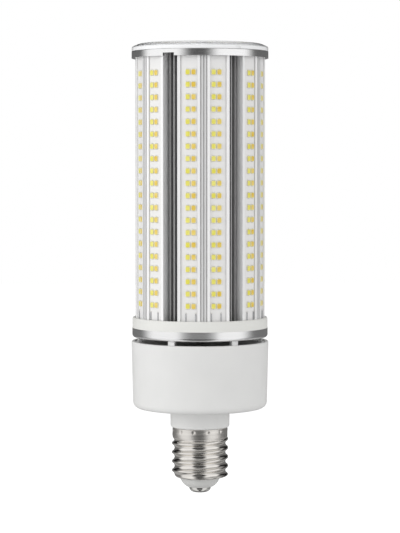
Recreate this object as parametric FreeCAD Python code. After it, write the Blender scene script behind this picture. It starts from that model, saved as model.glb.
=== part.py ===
import FreeCAD, Part
import math
import os

# Corn lamp with a mogul screw cap, standing on its centre contact.
# Millimetres. The origin is the tip of the centre contact and +Z runs up the lamp.
# The middle of one LED side faces -Y.

Vector = FreeCAD.Vector

# How far a cutting shape runs past the face that it opens
overcut = 1.0

# Screw cap
contact_radius = 7.6
contact_flat_radius = 4.0
contact_height = 3.7
rivet_radius = 2.0
rivet_length = 12.0
insulator_height = 6.5
insulator_foot_radius = 8.4
insulator_radius = 13.8
insulator_bulge = 1.0
insulator_flange_height = 2.4
insulator_rise = 2.9
shell_height = 35.6
shell_wall = 0.6
shell_end_wall = 0.5
shell_taper_height = 2.1
thread_core_radius = 17.8
thread_depth = 1.85
thread_pitch = 6.35
thread_crest_width = 1.5
thread_root_width = 4.9
thread_first_crest = 6.15
thread_start_angle = 20.0
shell_collar_height = 7.7
shell_collar_step = 1.4
cap_clearance = 0.1
lead_space = 7.3

# Driver housing, one moulding of neck and cup
neck_height = 13.6
neck_radius = 20.55
neck_draft = 0.15
neck_wall = 2.4
neck_edge_radius = 1.4
spigot_wall = 2.4
housing_height = 46.7
housing_draft = 1.1
housing_wall = 2.2
housing_floor = 2.5
housing_edge_radius = 4.5
housing_rim_radius = 0.8
rim_overhang = 0.6

# Lid with the spacer posts of the air slot
lid_thickness = 2.0
lid_drop = 1.0
lid_ledge = 1.4
lid_clearance = 0.1
lid_lead_hole_radius = 6.0
vent_gap = 2.8
post_width = 4.8
post_depth = 3.0
post_inset = 0.8
peg_radius = 1.2
peg_length = 1.8
peg_clearance = 0.1

# Silver band, white collar and base plate
band_height = 6.6
band_wall = 1.0
band_edge_radius = 2.0
band_flange = 2.8
band_clearance = 0.1
collar_height = 7.2
collar_wall = 1.85
collar_step = 1.0
collar_edge_radius = 0.8
collar_floor = 2.2
collar_floor_width = 4.1
socket_clearance = 0.15
plate_thickness = 2.0
grommet_radius = 6.0
grommet_bore = 4.0
grommet_flange = 2.0
grommet_lip = 1.0

# Extruded heat sink: six sides, each with two LED facets and a ribbed centre bar
side_count = 6
column_visible_length = 179.1
facet_apothem = 44.3
facet_angle = 13.0
facet_lip = 0.8
board_width = 12.5
board_thickness = 1.6
board_clearance = 0.1
board_end_clearance = 0.2
board_window = 11.7
bar_half_width = 2.45
bar_groove_width = 0.9
bar_groove_depth = 1.2
channel_half_width = 5.4
channel_floor_distance = 33.0
fin_count = 3
fin_pitch = 3.0
fin_thickness = 0.8
fin_length = 6.0
facet_backing = 3.0
channel_backing = 2.5
port_radius = 2.7
port_bore = 1.3
port_inset = 1.5
port_count = 3

# LED packages
led_width = 3.1
led_height = 3.6
led_thickness = 0.8
led_pair_pitch = 4.0
led_pair_offset = 1.2
led_row_pitch = 8.3
led_row_drop = 0.4
led_end_margin = 10.0
lead_width = 0.6
lead_spread = 3.4
lead_reach = 6.0

# Top ring, top board and clear lens
ring_height = 4.8
ring_wall = 2.2
ring_overlap = 3.0
ring_notch_width = 8.5
ring_notch_height = 2.0
ring_edge_radius = 0.4
ring_clearance = 0.1
top_board_clearance = 2.6
top_led_counts = (6, 12, 18)
top_led_first_radius = 10.0
top_led_ring_pitch = 11.0
lens_rim_height = 2.9
lens_crown_height = 2.8
lens_wall = 1.6
lens_shoulder_width = 5.0
lens_shoulder_drop = 0.5
lens_shoulder_radius = 8.0
lens_edge_radius = 1.2
lens_tab_width = 3.6
lens_tab_height = 1.6
lens_tab_depth = 0.7

# Screws
screw_radius = 1.25
screw_head_radius = 2.4
screw_head_height = 1.5
screw_length = 10.0
screw_clearance = 0.05

# Driver inside the cup
driver_board_clearance = 6.5
driver_board_thickness = 1.6
driver_standoff = 9.0
boss_radius = 3.0
boss_inset = 4.0
boss_count = 3
boss_first_angle = 30.0
driver_headroom = 4.5
core_width = 30.0
core_depth = 12.0
core_leg = 9.0
core_yoke = 5.0
core_place = 15.0
winding_gap = 0.2
winding_wall = 5.0
winding_corner = 2.0
capacitor_radius = 8.0
capacitor_places = ((-22.0, -6.0), (-12.0, -22.0))
capacitor_edge = 1.0
choke_ring_radius = 6.5
choke_wire_radius = 3.2
choke_place = (14.0, -22.0)
film_size = (8.0, 18.0, 14.0)
film_place = (25.0, -1.0)
spreader_width = 26.0
spreader_thickness = 2.0
spreader_place = 31.5
switch_size = (10.0, 4.5, 15.0)
rectifier_size = (4.0, 14.0, 10.0)
rectifier_place = (-21.0, 10.0)
fuse_radius = 2.6
fuse_length = 14.0
fuse_place = (21.0, 16.0)
wire_radius = 0.9
output_spread = 1.6
neutral_offset = 9.0
neutral_bend = 3.0

# Levels up the lamp
insulator_bottom = contact_height
shell_bottom = insulator_bottom + insulator_height
insulator_neck_top = shell_bottom + insulator_rise
insulator_top = insulator_neck_top + insulator_flange_height
spigot_bottom = insulator_top + lead_space
shell_top = shell_bottom + shell_height
housing_bottom = shell_top + neck_height
housing_top = housing_bottom + housing_height
band_bottom = housing_top + vent_gap
band_top = band_bottom + band_height
collar_top = band_top + collar_height
plate_bottom = band_bottom + collar_floor
sink_bottom = plate_bottom + plate_thickness
ring_bottom = collar_top + column_visible_length
ring_top = ring_bottom + ring_height
sink_top = ring_bottom + ring_overlap
top_board_top = ring_top + board_thickness
lid_top = housing_top - lid_drop
lid_bottom = lid_top - lid_thickness
housing_floor_top = housing_bottom + housing_floor
driver_bottom = housing_floor_top + driver_standoff
driver_top = driver_bottom + driver_board_thickness
tallest_part = lid_bottom - driver_top - driver_headroom

# Heat sink section: each facet has its own axes, n out from the lamp's axis and s along the facet
side_angle = 360.0 / side_count
channel_turn = math.radians(side_angle / 2)
facet_turn = math.radians(facet_angle)
board_face = facet_apothem - facet_lip - board_clearance
board_seat = board_face - board_thickness


def facet_point(n, s):
    """Place in the section of one side, s growing from the centre bar to the channel."""
    across = n * math.sin(facet_turn) + s * math.cos(facet_turn)
    out = n * math.cos(facet_turn) - s * math.sin(facet_turn)
    return across, out


def channel_point(p, q):
    """Place in the section of one side, q out along the channel's middle and p across it."""
    across = q * math.sin(channel_turn) + p * math.cos(channel_turn)
    out = q * math.cos(channel_turn) - p * math.sin(channel_turn)
    return across, out


def facet_meets_channel_line(n, p):
    """Where the facet line at distance n crosses the line beside the channel at offset p."""
    turn = channel_turn - facet_turn
    s = (n * math.sin(turn) + p) / math.cos(turn)
    return facet_point(n, s)


bar_top = (facet_apothem - bar_half_width * math.sin(facet_turn)) / math.cos(facet_turn)
column_radius = math.hypot(*facet_meets_channel_line(facet_apothem, -channel_half_width))
sink_inner_peak = (board_seat - facet_backing) / math.cos(facet_turn)
port_place = sink_inner_peak - port_inset

# Radii that follow from the column
socket_radius = column_radius + socket_clearance
collar_radius = socket_radius + collar_wall
sleeve_radius = collar_radius - collar_step
band_inner_radius = sleeve_radius + band_clearance
band_radius = band_inner_radius + band_wall
rim_radius = band_radius + rim_overhang
foot_radius = rim_radius - housing_draft
lid_seat_radius = rim_radius - housing_wall
lid_radius = lid_seat_radius - lid_clearance
bay_top_radius = lid_seat_radius - lid_ledge
bay_foot_radius = bay_top_radius - housing_draft
driver_board_radius = bay_foot_radius - driver_board_clearance
boss_place = driver_board_radius - boss_inset
floor_inner_radius = socket_radius - collar_floor_width
flange_inner_radius = band_radius - band_flange
post_outer_radius = flange_inner_radius - post_inset
ring_inner_radius = column_radius + ring_clearance
ring_radius = ring_inner_radius + ring_wall
lens_radius = ring_radius - ring_clearance
lens_inner_radius = lens_radius - 2 * lens_wall + ring_clearance
top_board_radius = lens_inner_radius - top_board_clearance
shell_bore = thread_core_radius - shell_wall
crest_radius = thread_core_radius + thread_depth
shell_collar_radius = thread_core_radius + shell_collar_step
shell_collar_bore = shell_collar_radius - shell_wall
shell_collar_bottom = shell_top - shell_collar_height
spigot_radius = shell_bore - cap_clearance
spigot_bore = spigot_radius - spigot_wall
hole_radius = screw_radius + screw_clearance


def corner_wire(corners):
    """Closed wire through (x, z) corners in the XZ plane; a third number rounds its corner."""
    edges = []
    joints = []
    count = len(corners)
    for index in range(count):
        here = Vector(corners[index][0], 0, corners[index][1])
        before = Vector(corners[index - 1][0], 0, corners[index - 1][1])
        after = Vector(corners[(index + 1) % count][0], 0, corners[(index + 1) % count][1])
        radius = corners[index][2] if len(corners[index]) > 2 else 0
        if radius == 0:
            joints.append((here, here, None))
            continue
        back = (before - here).normalize()
        ahead = (after - here).normalize()
        half = back.getAngle(ahead) / 2
        reach = radius / math.tan(half)
        middle = (back + ahead).normalize() * (radius / math.sin(half) - radius)
        joints.append((here + back * reach, here + ahead * reach, here + middle))
    for index in range(count):
        start, end, middle = joints[index]
        if middle is not None:
            edges.append(Part.Arc(start, middle, end).toShape())
        edges.append(Part.LineSegment(end, joints[(index + 1) % count][0]).toShape())
    return Part.Wire(edges)


def turned(corners):
    """Solid of revolution about the lamp's axis."""
    return Part.Face(corner_wire(corners)).revolve(Vector(0, 0, 0), Vector(0, 0, 1), 360)


def rod(radius, bottom, top, place=(0, 0)):
    """Upright cylinder."""
    return Part.makeCylinder(radius, top - bottom, Vector(place[0], place[1], bottom))


def block(size, place, bottom):
    """Upright box, centred on a place in plan."""
    corner = Vector(place[0] - size[0] / 2, place[1] - size[1] / 2, bottom)
    return Part.makeBox(size[0], size[1], size[2], corner)


def around(shape, degrees):
    """Copy of a shape, turned about the lamp's axis."""
    copy = shape.copy()
    copy.rotate(Vector(0, 0, 0), Vector(0, 0, 1), degrees)
    return copy


def side_direction(index):
    """Angle of the middle of a side; the first faces -Y."""
    return -90 + index * side_angle


def polar(radius, degrees):
    """Place in plan at a radius and an angle."""
    return radius * math.cos(math.radians(degrees)), radius * math.sin(math.radians(degrees))


def port_places():
    """Plan places of the screw ports, on every other side."""
    step = side_count // port_count
    return [polar(port_place, side_direction(index * step)) for index in range(port_count)]


def boss_places():
    """Plan places of the bosses that carry the driver board."""
    turns = [boss_first_angle + index * 360 / boss_count for index in range(boss_count)]
    return [polar(boss_place, turn) for turn in turns]


# Screw cap

def make_center_contact():
    bowl = contact_radius - contact_flat_radius
    cap = turned([
        (0, 0),
        (contact_radius, 0, bowl),
        (contact_radius, contact_height),
        (0, contact_height)])
    rivet = rod(rivet_radius, contact_height - overcut, contact_height + rivet_length)
    return cap.fuse(rivet).removeSplitter()


def make_cap_insulator():
    foot = Vector(insulator_foot_radius, 0, insulator_bottom)
    rim = Vector(insulator_radius, 0, shell_bottom)
    outward = Vector(rim.z - foot.z, 0, foot.x - rim.x).normalize()
    belly = (foot + rim) * 0.5 + outward * insulator_bulge
    flange_radius = shell_bore - cap_clearance
    bore = rivet_radius + cap_clearance / 2
    places = [
        (insulator_radius, insulator_neck_top),
        (flange_radius, insulator_neck_top),
        (flange_radius, insulator_top),
        (bore, insulator_top),
        (bore, insulator_bottom)]
    points = [rim] + [Vector(x, 0, z) for x, z in places] + [foot]
    edges = [Part.Arc(foot, belly, rim).toShape()]
    for start, end in zip(points, points[1:]):
        edges.append(Part.LineSegment(start, end).toShape())
    return Part.Face(Part.Wire(edges)).revolve(Vector(0, 0, 0), Vector(0, 0, 1), 360)


def make_thread_ridge():
    """Ridge of the thread: half turns of its flanks and crest, closed by one face at each end."""
    base_radius = thread_core_radius - shell_wall / 2
    crest = thread_crest_width / 2
    root = thread_root_width / 2
    section = Part.makePolygon([
        Vector(base_radius, 0, -root),
        Vector(crest_radius, 0, -crest),
        Vector(crest_radius, 0, crest),
        Vector(base_radius, 0, root),
        Vector(base_radius, 0, -root)])
    helix = Part.makeHelix(thread_pitch, thread_pitch / 2, base_radius)
    half_turn = Part.Wire(helix).makePipeShell([section], False, True)
    end = Part.Face(section)
    length = shell_collar_bottom + thread_pitch - thread_first_crest
    count = math.ceil(2 * length / thread_pitch)
    faces = []
    for index in range(count + 1):
        shapes = [half_turn] if index < count else []
        if index in (0, count):
            shapes.append(end)
        for shape in shapes:
            piece = around(shape, thread_start_angle + 180 * index)
            piece.translate(Vector(0, 0, thread_first_crest + index * thread_pitch / 2))
            faces += piece.Faces
    shell = Part.makeShell(faces)
    shell.sewShape()
    return Part.makeSolid(shell)


def make_screw_shell():
    end_bore = insulator_radius + cap_clearance / 2
    end_radius = end_bore + shell_end_wall
    taper_top = shell_bottom + shell_taper_height
    core = turned([
        (0, shell_bottom),
        (end_radius, shell_bottom),
        (thread_core_radius, taper_top),
        (thread_core_radius, shell_collar_bottom - shell_collar_step),
        (shell_collar_radius, shell_collar_bottom),
        (shell_collar_radius, shell_top),
        (0, shell_top)])
    flare = shell_taper_height / (crest_radius - end_radius)
    fade = crest_radius - shell_collar_radius
    reach = crest_radius + thread_depth
    limit = turned([
        (0, shell_bottom),
        (end_radius, shell_bottom),
        (reach, shell_bottom + (reach - end_radius) * flare),
        (reach, shell_collar_bottom - thread_depth),
        (shell_collar_radius, shell_collar_bottom + fade),
        (0, shell_collar_bottom + fade)])
    bore = turned([
        (0, shell_bottom - overcut),
        (end_bore, shell_bottom - overcut),
        (end_bore, shell_bottom + shell_wall),
        (shell_bore, taper_top + shell_wall),
        (shell_bore, shell_collar_bottom - shell_wall),
        (shell_collar_bore, shell_collar_bottom - shell_wall + shell_collar_step),
        (shell_collar_bore, shell_top + overcut),
        (0, shell_top + overcut)])
    ridge = make_thread_ridge().common(limit)
    return core.fuse(ridge).cut(bore).removeSplitter()


# Driver housing and lid

def make_driver_housing():
    collar_spigot = shell_collar_bore - cap_clearance
    step = shell_collar_bottom - shell_wall + shell_collar_step + cap_clearance
    neck_top_radius = neck_radius + neck_draft
    body = turned([
        (0, spigot_bottom),
        (spigot_radius, spigot_bottom),
        (spigot_radius, step - shell_collar_step + cap_clearance),
        (collar_spigot, step + cap_clearance),
        (collar_spigot, shell_top),
        (neck_radius, shell_top, neck_edge_radius),
        (neck_top_radius, housing_bottom),
        (foot_radius, housing_bottom, housing_edge_radius),
        (rim_radius, housing_top, housing_rim_radius),
        (0, housing_top)])
    neck_bore = neck_radius - neck_wall
    cavity = turned([
        (0, spigot_bottom - overcut),
        (spigot_bore, spigot_bottom - overcut),
        (spigot_bore, shell_top),
        (neck_bore, shell_top + neck_wall),
        (neck_bore, housing_floor_top),
        (bay_foot_radius, housing_floor_top, housing_edge_radius - housing_wall),
        (bay_top_radius, lid_bottom),
        (lid_seat_radius, lid_bottom),
        (lid_seat_radius, housing_top + overcut),
        (0, housing_top + overcut)])
    body = body.cut(cavity)
    for place in boss_places():
        body = body.fuse(rod(boss_radius, housing_floor_top - housing_floor / 2, driver_bottom, place))
    hole_bottom = driver_top - screw_length - overcut
    for place in boss_places():
        body = body.cut(rod(hole_radius, hole_bottom, driver_bottom + overcut, place))
    return body.removeSplitter()


def make_housing_lid():
    lid = rod(lid_radius, lid_bottom, lid_top)
    lid = lid.cut(rod(lid_lead_hole_radius, lid_bottom - overcut, lid_top + overcut))
    post_middle = post_outer_radius - post_depth / 2
    post = block((post_depth, post_width, band_bottom - lid_bottom), (post_middle, 0), lid_bottom)
    peg_place = (floor_inner_radius + post_outer_radius) / 2
    post = post.fuse(rod(peg_radius, lid_bottom, band_bottom + peg_length, (peg_place, 0)))
    for index in range(side_count):
        lid = lid.fuse(around(post, side_direction(index + 0.5)))
    return lid.removeSplitter()


# Band, collar and base plate

def make_lower_band():
    inner_edge = band_edge_radius - band_wall
    return turned([
        (flange_inner_radius, band_bottom),
        (band_radius, band_bottom, band_edge_radius),
        (band_radius, band_top),
        (band_inner_radius, band_top),
        (band_inner_radius, band_bottom + band_wall, inner_edge),
        (flange_inner_radius, band_bottom + band_wall)])


def make_base_collar():
    sleeve_bottom = band_bottom + band_wall + band_clearance
    sleeve_edge = band_edge_radius - band_wall
    hub_radius = flange_inner_radius - band_clearance
    collar = turned([
        (floor_inner_radius, band_bottom),
        (hub_radius, band_bottom),
        (hub_radius, sleeve_bottom),
        (sleeve_radius, sleeve_bottom, sleeve_edge),
        (sleeve_radius, band_top),
        (collar_radius, band_top),
        (collar_radius, collar_top, collar_edge_radius),
        (socket_radius, collar_top),
        (socket_radius, plate_bottom),
        (floor_inner_radius, plate_bottom)])
    peg_place = (floor_inner_radius + post_outer_radius) / 2
    hole = rod(peg_radius + peg_clearance, band_bottom - overcut, plate_bottom + overcut, (peg_place, 0))
    for index in range(side_count):
        collar = collar.cut(around(hole, side_direction(index + 0.5)))
    return collar


def make_base_plate():
    plate = rod(socket_radius - socket_clearance, plate_bottom, sink_bottom)
    plate = plate.cut(rod(grommet_radius, plate_bottom - overcut, sink_bottom + overcut))
    for place in port_places():
        plate = plate.cut(rod(hole_radius, plate_bottom - overcut, sink_bottom + overcut, place))
    return plate


def make_lead_grommet():
    waist = grommet_radius - board_clearance
    flange = grommet_radius + grommet_flange
    return turned([
        (grommet_bore, plate_bottom - grommet_lip),
        (flange, plate_bottom - grommet_lip),
        (flange, plate_bottom),
        (waist, plate_bottom),
        (waist, sink_bottom),
        (flange, sink_bottom),
        (flange, sink_bottom + grommet_lip),
        (grommet_bore, sink_bottom + grommet_lip)])


# Heat sink

def bar_points():
    """Half of the ribbed centre bar, from the middle of its centre groove outwards."""
    rib_start = bar_groove_width / 2
    rib_end = bar_half_width - bar_groove_width
    groove = bar_top - bar_groove_depth
    return [
        (rib_start, groove),
        (rib_start, bar_top),
        (rib_end, bar_top),
        (rib_end, groove),
        (bar_half_width, groove),
        (bar_half_width, bar_top)]


def slot_points():
    """T-slot that holds one LED board, from the centre bar to the channel."""
    window = board_window / 2
    slot = board_width / 2 + board_clearance
    lip_under = facet_apothem - facet_lip
    places = [
        (facet_apothem, -window),
        (lip_under, -window),
        (lip_under, -slot),
        (board_seat, -slot),
        (board_seat, slot),
        (lip_under, slot),
        (lip_under, window),
        (facet_apothem, window)]
    return [facet_point(n, s) for n, s in places]


def channel_points():
    """Half of the deep channel beside the facet, with its fins, up to the channel's middle."""
    floor = channel_floor_distance
    tip = floor + fin_length
    points = [facet_meets_channel_line(facet_apothem, -channel_half_width)]
    points.append(channel_point(-channel_half_width, floor))
    for index in range(fin_count):
        middle = (index - (fin_count - 1) / 2) * fin_pitch
        edges = [(middle - fin_thickness / 2, floor), (middle - fin_thickness / 2, tip),
                 (middle + fin_thickness / 2, tip), (middle + fin_thickness / 2, floor)]
        points += [channel_point(p, q) for p, q in edges if p < 0]
    return points


def mirrored_side(half):
    """Whole outline of one side from its half, in order across the side."""
    return [(-across, out) for across, out in reversed(half)] + half


def ring_outline(half):
    """Closed outline of the column from the half outline of one side."""
    points = []
    for index in range(side_count):
        turn = math.radians(side_direction(index))
        for across, out in mirrored_side(half):
            x = out * math.cos(turn) - across * math.sin(turn)
            y = out * math.sin(turn) + across * math.cos(turn)
            points.append(Vector(x, y, sink_bottom))
    points.append(points[0])
    return Part.Face(Part.makePolygon(points))


def make_heat_sink():
    length = Vector(0, 0, sink_top - sink_bottom)
    outside = ring_outline(bar_points() + slot_points() + channel_points()).extrude(length)
    inner_facet = board_seat - facet_backing
    inner_channel = channel_half_width + channel_backing
    inner_floor = channel_floor_distance - facet_backing
    inside = ring_outline([
        (0, sink_inner_peak),
        facet_meets_channel_line(inner_facet, -inner_channel),
        channel_point(-inner_channel, inner_floor)]).extrude(length)
    for place in port_places():
        inside = inside.cut(rod(port_radius, sink_bottom - overcut, sink_top + overcut, place))
    sink = outside.cut(inside)
    for place in port_places():
        sink = sink.cut(rod(port_bore, sink_bottom - overcut, sink_top + overcut, place))
    return sink


# LED boards and packages, made for a facet that faces +X and then turned into place

def led_row_levels():
    """Heights of the LED rows, a little below the middle of the column that shows."""
    room = column_visible_length - 2 * led_end_margin
    count = int(room / led_row_pitch) + 1
    middle = (collar_top + ring_bottom) / 2 - led_row_drop
    return [middle + (index - (count - 1) / 2) * led_row_pitch for index in range(count)]


def facet_turns():
    """Angle and hand of each LED facet, side by side round the column."""
    turns = []
    for index in range(side_count):
        for hand in (-1, 1):
            turns.append((side_direction(index) + hand * facet_angle, hand))
    return turns


def make_led_board(turn):
    bottom = sink_bottom + board_end_clearance
    length = sink_top - sink_bottom - 2 * board_end_clearance
    middle = board_seat + board_thickness / 2
    return around(block((board_thickness, board_width, length), (middle, 0), bottom), turn)


def make_led_chips(turn, hand):
    chips = []
    out = board_face + led_thickness / 2
    for level in led_row_levels():
        for side in (-1, 1):
            along = hand * (side * led_pair_pitch / 2 - led_pair_offset)
            size = (led_thickness, led_width, led_height)
            chips.append(around(block(size, (out, along), level - led_height / 2), turn))
    return Part.makeCompound(chips)


def make_board_leads():
    leads = []
    bottom = sink_bottom + 2 * board_end_clearance
    size = (lead_width, lead_width, collar_top + lead_reach - bottom)
    out = board_face + lead_width / 2
    for turn, hand in facet_turns():
        for side in (-1, 1):
            along = hand * (side * lead_spread - led_pair_offset)
            leads.append(around(block(size, (out, along), bottom), turn))
    return Part.makeCompound(leads)


# Top end

def make_top_ring():
    ring = turned([
        (ring_inner_radius, ring_bottom),
        (ring_radius, ring_bottom),
        (ring_radius, ring_top, ring_edge_radius),
        (ring_inner_radius, ring_top)])
    notch = block((4 * ring_wall, ring_notch_width, ring_notch_height), (ring_radius, 0), ring_bottom)
    return ring.cut(around(notch, side_direction(-0.5)))


def make_top_plate():
    plate = rod(ring_inner_radius - ring_clearance, sink_top, ring_top)
    plate = plate.cut(rod(grommet_bore, sink_top - overcut, ring_top + overcut))
    for place in port_places():
        plate = plate.cut(rod(hole_radius, sink_top - overcut, ring_top + overcut, place))
    return plate


def make_top_board():
    board = rod(top_board_radius, ring_top, top_board_top)
    for place in port_places():
        board = board.cut(rod(hole_radius, ring_top - overcut, top_board_top + overcut, place))
    return board


def make_top_chips():
    chips = []
    for ring, count in enumerate(top_led_counts):
        radius = top_led_first_radius + ring * top_led_ring_pitch
        chip = block((led_height, led_width, led_thickness), (radius, 0), top_board_top)
        for index in range(count):
            chips.append(around(chip, (index + 0.5) * 360 / count - 90))
    return Part.makeCompound(chips)


def make_top_lens():
    rim_top = ring_top + lens_rim_height
    apex = rim_top + lens_crown_height
    shoulder = lens_radius - lens_shoulder_width
    inner_shoulder = shoulder - lens_wall / 4
    dome = turned([
        (0, ring_top),
        (lens_radius, ring_top),
        (lens_radius, rim_top, lens_edge_radius),
        (shoulder, apex - lens_shoulder_drop, lens_shoulder_radius),
        (0, apex)])
    hollow = turned([
        (0, ring_top - overcut),
        (lens_inner_radius, ring_top - overcut),
        (lens_inner_radius, rim_top - lens_edge_radius),
        (inner_shoulder, apex - lens_shoulder_drop - lens_wall, lens_shoulder_radius - lens_wall),
        (0, apex - lens_wall)])
    tab_size = (2 * lens_tab_depth, lens_tab_width, lens_tab_height)
    tab = block(tab_size, (lens_radius, 0), rim_top - lens_edge_radius - lens_tab_height)
    return dome.cut(hollow).cut(around(tab, side_direction(0.5)))


# Screws

def make_screw(place, seat, up):
    """Pan-head screw; up is 1 where the head is above its seat and -1 where it is below."""
    head_end = seat + up * screw_head_height
    tip = seat - up * screw_length
    head = rod(screw_head_radius, min(seat, head_end), max(seat, head_end), place)
    shank = rod(screw_radius, min(head_end, tip), max(head_end, tip), place)
    return head.fuse(shank).removeSplitter()


def make_screws(places, seat, up):
    return Part.makeCompound([make_screw(place, seat, up) for place in places])


# Driver

def make_driver_board():
    board = rod(driver_board_radius, driver_bottom, driver_top)
    for place in boss_places():
        board = board.cut(rod(hole_radius, driver_bottom - overcut, driver_top + overcut, place))
    return board


def make_transformer_core():
    core = block((core_width, core_depth, tallest_part), (0, core_place), driver_top)
    window_width = (core_width - core_leg) / 4
    window_size = (window_width, 2 * core_depth, tallest_part - 2 * core_yoke)
    for hand in (-1, 1):
        place = (hand * (core_leg + window_width) / 2, core_place)
        core = core.cut(block(window_size, place, driver_top + core_yoke))
    return core


def make_transformer_winding():
    hole = (core_leg + 2 * winding_gap, core_depth + 2 * winding_gap)
    size = (hole[0] + 2 * (winding_wall - 2 * winding_gap), hole[1] + 2 * winding_wall)
    height = tallest_part - 2 * core_yoke
    coil = block(size + (height,), (0, core_place), driver_top + core_yoke)
    upright = [edge for edge in coil.Edges if abs(edge.tangentAt(edge.FirstParameter).z) > 0.5]
    coil = coil.makeFillet(winding_corner, upright)
    return coil.cut(block(hole + (height,), (0, core_place), driver_top + core_yoke))


def make_bulk_capacitors():
    cans = []
    for place in capacitor_places:
        can = rod(capacitor_radius, driver_top, driver_top + tallest_part, place)
        rims = [edge for edge in can.Edges if edge.Closed]
        cans.append(can.makeChamfer(capacitor_edge, rims))
    return Part.makeCompound(cans)


def make_line_choke():
    center = Vector(choke_place[0], choke_place[1], driver_top + choke_wire_radius)
    return Part.makeTorus(choke_ring_radius, choke_wire_radius, center)


def make_heat_spreader():
    size = (spreader_width, spreader_thickness, tallest_part)
    return block(size, (0, spreader_place + spreader_thickness / 2), driver_top)


def make_power_switch():
    return block(switch_size, (0, spreader_place - switch_size[1] / 2), driver_top)


def make_input_fuse():
    start = Vector(fuse_place[0], fuse_place[1] - fuse_length / 2, driver_top + fuse_radius)
    return Part.makeCylinder(fuse_radius, fuse_length, start, Vector(0, 1, 0))


# Wires inside the lamp

def make_live_lead():
    return rod(wire_radius, contact_height + rivet_length, driver_bottom)


def make_neutral_lead():
    level = (insulator_top + spigot_bottom) / 2
    reach = shell_bore - cap_clearance / 2
    top = Vector(neutral_offset, 0, driver_bottom)
    bend_start = Vector(neutral_offset, 0, level + neutral_bend)
    bend_end = Vector(neutral_offset + neutral_bend, 0, level)
    slant = neutral_bend * (1 - math.sqrt(0.5))
    bend_middle = Vector(neutral_offset + slant, 0, level + slant)
    path = Part.Wire([
        Part.LineSegment(top, bend_start).toShape(),
        Part.Arc(bend_start, bend_middle, bend_end).toShape(),
        Part.LineSegment(bend_end, Vector(reach, 0, level)).toShape()])
    section = Part.Wire(Part.makeCircle(wire_radius, top, Vector(0, 0, 1)))
    return path.makePipeShell([section], True, False)


def make_output_leads():
    wires = []
    for hand in (-1, 1):
        wires.append(rod(wire_radius, driver_top, ring_top, (hand * output_spread, 0)))
    return Part.makeCompound(wires)


def all_pieces():
    """Every piece of the lamp, by its name."""
    pieces = {
        "center_contact": make_center_contact(),
        "cap_insulator": make_cap_insulator(),
        "screw_shell": make_screw_shell(),
        "driver_housing": make_driver_housing(),
        "housing_lid": make_housing_lid(),
        "lower_band": make_lower_band(),
        "base_collar": make_base_collar(),
        "base_plate": make_base_plate(),
        "lead_grommet": make_lead_grommet(),
        "heat_sink": make_heat_sink(),
        "board_leads": make_board_leads(),
        "top_ring": make_top_ring(),
        "top_plate": make_top_plate(),
        "top_board": make_top_board(),
        "top_chips": make_top_chips(),
        "top_lens": make_top_lens(),
        "plate_screws": make_screws(port_places(), top_board_top, 1),
        "sink_screws": make_screws(port_places(), plate_bottom, -1),
        "driver_screws": make_screws(boss_places(), driver_top, 1),
        "driver_board": make_driver_board(),
        "transformer_core": make_transformer_core(),
        "transformer_winding": make_transformer_winding(),
        "bulk_capacitors": make_bulk_capacitors(),
        "line_choke": make_line_choke(),
        "film_capacitor": block(film_size, film_place, driver_top),
        "heat_spreader": make_heat_spreader(),
        "power_switch": make_power_switch(),
        "rectifier": block(rectifier_size, rectifier_place, driver_top),
        "input_fuse": make_input_fuse(),
        "live_lead": make_live_lead(),
        "neutral_lead": make_neutral_lead(),
        "output_leads": make_output_leads()}
    for index, (turn, hand) in enumerate(facet_turns()):
        pieces["led_board_%02d" % (index + 1)] = make_led_board(turn)
        pieces["led_chips_%02d" % (index + 1)] = make_led_chips(turn, hand)
    return pieces


def main():
    os.makedirs("parts", exist_ok=True)
    for name, shape in all_pieces().items():
        shape.exportStep(os.path.join("parts", name + ".step"))


main()
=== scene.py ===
import math

import bpy
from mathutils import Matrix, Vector


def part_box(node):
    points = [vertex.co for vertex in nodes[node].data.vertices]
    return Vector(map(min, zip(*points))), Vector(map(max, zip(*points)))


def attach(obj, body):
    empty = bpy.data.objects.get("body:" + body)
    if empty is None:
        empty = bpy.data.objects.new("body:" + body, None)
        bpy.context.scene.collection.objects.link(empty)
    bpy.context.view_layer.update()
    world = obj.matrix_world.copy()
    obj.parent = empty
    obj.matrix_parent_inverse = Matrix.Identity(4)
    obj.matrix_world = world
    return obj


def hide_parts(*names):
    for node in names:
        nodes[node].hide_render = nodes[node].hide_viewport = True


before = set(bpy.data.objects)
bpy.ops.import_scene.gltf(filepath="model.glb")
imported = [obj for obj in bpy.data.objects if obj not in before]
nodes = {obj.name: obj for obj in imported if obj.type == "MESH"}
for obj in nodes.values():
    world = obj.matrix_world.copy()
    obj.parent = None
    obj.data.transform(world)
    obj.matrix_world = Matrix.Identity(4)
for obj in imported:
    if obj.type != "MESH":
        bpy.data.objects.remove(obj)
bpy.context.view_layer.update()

# Looks of a corn lamp with a mogul screw cap, in the frame of its CAD model.
# Metres. The lamp stands on its centre contact, +Z is up, and the middle of one LED side faces -Y.

mm = 0.001
degree = math.pi / 180
full_turn = 2 * math.pi

# Camera, placed as the photograph was taken
image_height = 533
focal_pixels = 2015
sensor_size = 36.0
camera_distance = 1.400
camera_height = 0.2311
camera_turn = -3.2 * degree
aim_height = 0.1577

# Studio floor, surroundings and soft lamps
floor_level = -0.10
floor_size = 8.0
floor_color = (0.78, 0.78, 0.78, 1)
floor_glow = 0.60
world_light = 0.61
key_power = 14.0
key_turn = -60 * degree
fill_power = 8.5
fill_turn = 66 * degree
softbox_size = 1.3
softbox_distance = 1.7
softbox_height = 0.55

# Light tent with bright panels at both sides; a fade is the turn or rise where a change starts and ends
tent_radius = 3.0
tent_columns = 180
tent_rows = 90
tent_panel = 1.0
tent_low_panel = 0.85
tent_low_fade = (-1 * degree, -12 * degree)
tent_top_level = 0.40
tent_top_fade = (22 * degree, 48 * degree)
tent_shade = 0.01

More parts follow.
